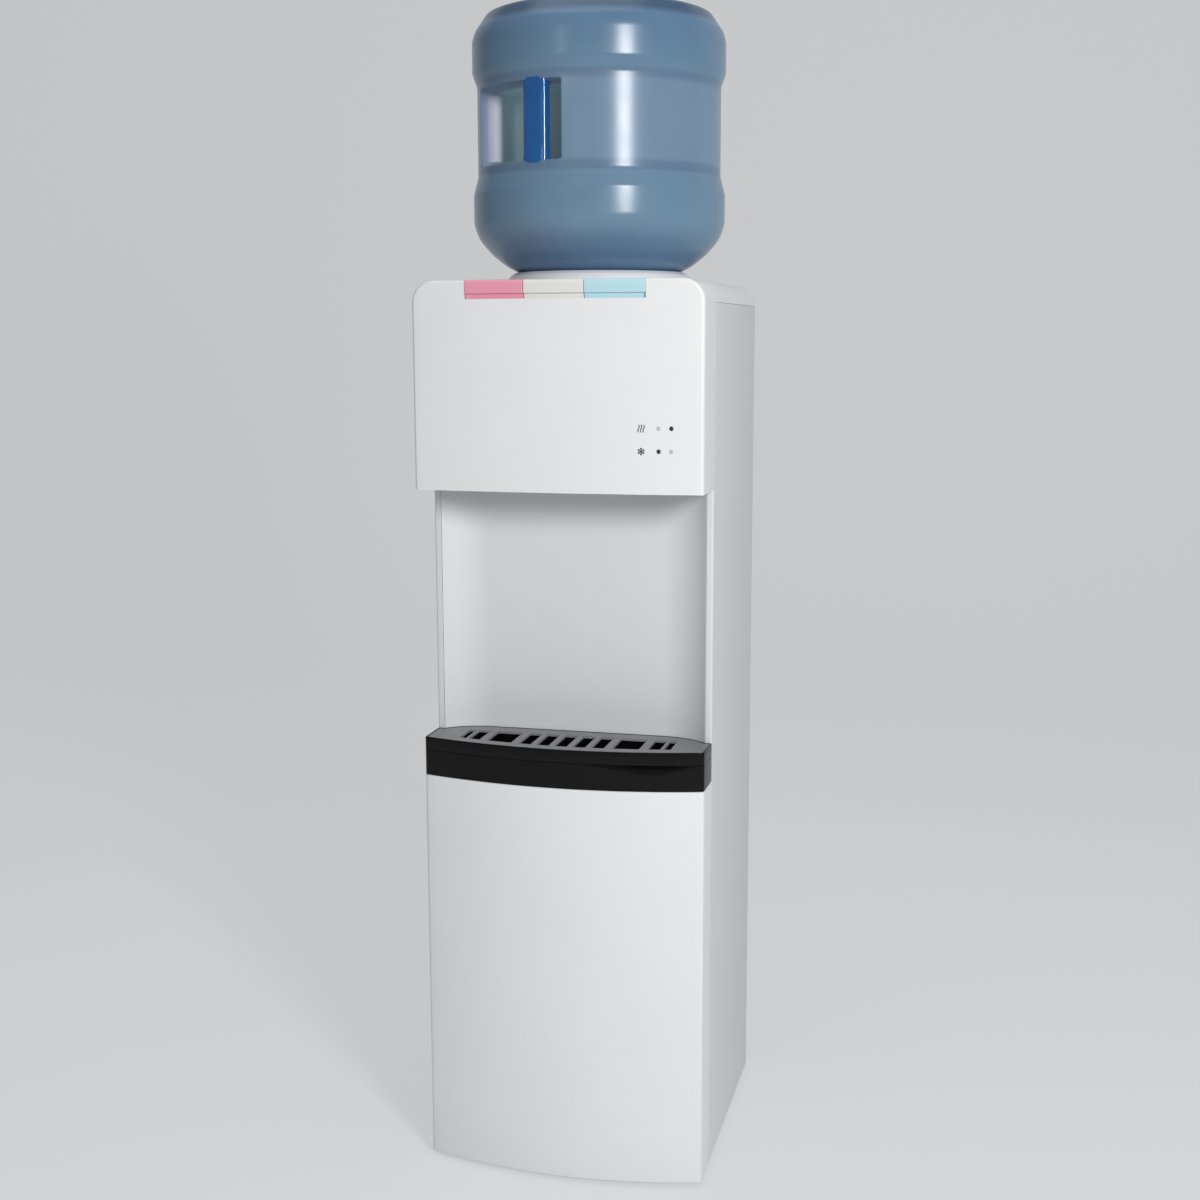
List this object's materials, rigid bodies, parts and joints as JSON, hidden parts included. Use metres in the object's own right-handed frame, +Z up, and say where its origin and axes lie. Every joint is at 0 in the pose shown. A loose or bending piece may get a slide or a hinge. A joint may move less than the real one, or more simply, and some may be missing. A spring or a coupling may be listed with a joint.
{
  "type": "water cooler",
  "caption": "Free-standing bottle water cooler with push buttons for hot, room and cold water, a cup niche, a lift-out drip tray and an inverted bottle with a handle.",
  "frame": {"origin": "on the floor, under the middle of the cabinet's width and depth", "axes": "+Z up, front towards -Y, +X to the viewer's right when facing the front"},
  "size_m": [0.3, 0.324, 1.2265],
  "materials": {
    "white_shell": "satin gloss white moulding",
    "white_sheet": "white powder-coated sheet",
    "grey_liner": "satin pale grey moulding",
    "black_trim": "glossy black moulding",
    "grey_grille": "fine-textured dark grey moulding",
    "blue_bottle": "clear blue polycarbonate",
    "white_cap": "soft white moulding",
    "pink_button": "satin pink moulding",
    "white_button": "satin white moulding",
    "blue_button": "satin pale blue moulding",
    "grey_moulding": "grey engineering plastic",
    "spout_white": "white food-grade moulding",
    "green_board": "solder-masked board",
    "light_lens": "dark clear light guide",
    "stainless": "brushed stainless steel",
    "bright_steel": "bright plated steel",
    "zinc_steel": "zinc-coated sheet steel",
    "copper": "drawn copper tube",
    "white_foam": "expanded foam",
    "silicone": "translucent silicone hose",
    "black_enamel": "black stove enamel",
    "black_rubber": "black rubber",
    "red_rocker": "red translucent rocker",
    "green_rocker": "green translucent rocker"
  },
  "bodies": {
    "cabinet": {"left_side_panel": "white_sheet", "right_side_panel": "white_sheet", "top_cover": "white_shell", "head_panel": "white_shell", "head_floor": "grey_liner", "niche_liner": "grey_liner", "lower_front_panel": "white_shell", "tray_band": "black_trim", "base_pan": "zinc_steel", "foot_front_left": "black_rubber", "foot_front_right": "black_rubber", "foot_rear_left": "black_rubber", "foot_rear_right": "black_rubber", "back_panel": "zinc_steel", "bottle_collar": "white_shell", "feed_probe": "grey_moulding", "button_frame": "grey_moulding", "button_axle": "bright_steel", "hot_spring": "bright_steel", "room_spring": "bright_steel", "cold_spring": "bright_steel", "hot_tap": "spout_white", "room_tap": "spout_white", "cold_tap": "spout_white", "indicator_board": "green_board", "lower_left_light": "light_lens", "lower_right_light": "light_lens", "upper_left_light": "light_lens", "upper_right_light": "light_lens", "cold_tank": "stainless", "cold_tank_lid": "white_cap", "cold_tank_insulation": "white_foam", "evaporator_coil": "copper", "cold_tank_shelf": "zinc_steel", "hot_tank": "stainless", "heating_element": "bright_steel", "hot_tank_jacket": "white_foam", "hot_thermostat": "black_enamel", "hot_tank_shelf": "zinc_steel", "cold_hose": "silicone", "room_hose": "silicone", "hot_hose": "silicone", "hot_feed_hose": "silicone", "drain_pipe": "spout_white", "compressor": "black_enamel", "condenser": "black_enamel", "switch_plate": "black_enamel"},
    "bottle": {"bottle": "blue_bottle", "bottle_cap": "white_cap"},
    "hot_button": {"hot_button": "pink_button"},
    "room_button": {"room_button": "white_button"},
    "cold_button": {"cold_button": "blue_button"},
    "hot_push_rod": {"hot_push_rod": "spout_white"},
    "room_push_rod": {"room_push_rod": "spout_white"},
    "cold_push_rod": {"cold_push_rod": "spout_white"},
    "tray": {"drip_tray": "black_trim"},
    "grille": {"drip_grille": "grey_grille"},
    "hot_switch": {"hot_switch": "red_rocker"},
    "cold_switch": {"cold_switch": "green_rocker"},
    "drain_cap": {"drain_cap": "white_cap"}
  },
  "joints": [
    {"name": "bottle_lift", "type": "slide", "parent": "cabinet", "child": "bottle", "axis": [0, 0, 1], "range_m": [0, 0.15]},
    {"name": "hot_press", "type": "hinge", "parent": "cabinet", "child": "hot_button", "pos_m": [-0.0617, -0.106, 0.936], "axis": [1, 0, 0], "range_deg": [0, 5], "stiffness_Nm_per_rad": 1.5, "springref_deg": -5.73},
    {"name": "room_press", "type": "hinge", "parent": "cabinet", "child": "room_button", "pos_m": [0, -0.106, 0.936], "axis": [1, 0, 0], "range_deg": [0, 5], "stiffness_Nm_per_rad": 1.5, "springref_deg": -5.73},
    {"name": "cold_press", "type": "hinge", "parent": "cabinet", "child": "cold_button", "pos_m": [0.0617, -0.106, 0.936], "axis": [1, 0, 0], "range_deg": [0, 5], "stiffness_Nm_per_rad": 1.5, "springref_deg": -5.73},
    {"name": "hot_rod_travel", "type": "slide", "parent": "cabinet", "child": "hot_push_rod", "axis": [0, 0, -1], "range_m": [0, 0.003], "deforming": ["hot_spring"]},
    {"name": "room_rod_travel", "type": "slide", "parent": "cabinet", "child": "room_push_rod", "axis": [0, 0, -1], "range_m": [0, 0.003], "deforming": ["room_spring"]},
    {"name": "cold_rod_travel", "type": "slide", "parent": "cabinet", "child": "cold_push_rod", "axis": [0, 0, -1], "range_m": [0, 0.003], "deforming": ["cold_spring"]},
    {"name": "tray_lift", "type": "slide", "parent": "cabinet", "child": "tray", "axis": [0, 0, 1], "range_m": [0, 0.12]},
    {"name": "grille_lift", "type": "slide", "parent": "tray", "child": "grille", "axis": [0, 0, 1], "range_m": [0, 0.05]},
    {"name": "hot_switch_rock", "type": "hinge", "parent": "cabinet", "child": "hot_switch", "pos_m": [-0.092, 0.1488, 0.34], "axis": [1, 0, 0], "range_deg": [0, 16]},
    {"name": "cold_switch_rock", "type": "hinge", "parent": "cabinet", "child": "cold_switch", "pos_m": [-0.064, 0.1488, 0.34], "axis": [1, 0, 0], "range_deg": [0, 16]},
    {"name": "drain_cap_turn", "type": "hinge", "parent": "cabinet", "child": "drain_cap", "pos_m": [0.095, 0.147, 0.34], "axis": [0, 1, 0], "continuous": true}
  ],
  "couplings": [
    {"joint": "hot_rod_travel", "follows": "hot_press", "m_per_rad": 0.032},
    {"joint": "room_rod_travel", "follows": "room_press", "m_per_rad": 0.032},
    {"joint": "cold_rod_travel", "follows": "cold_press", "m_per_rad": 0.032}
  ]
}
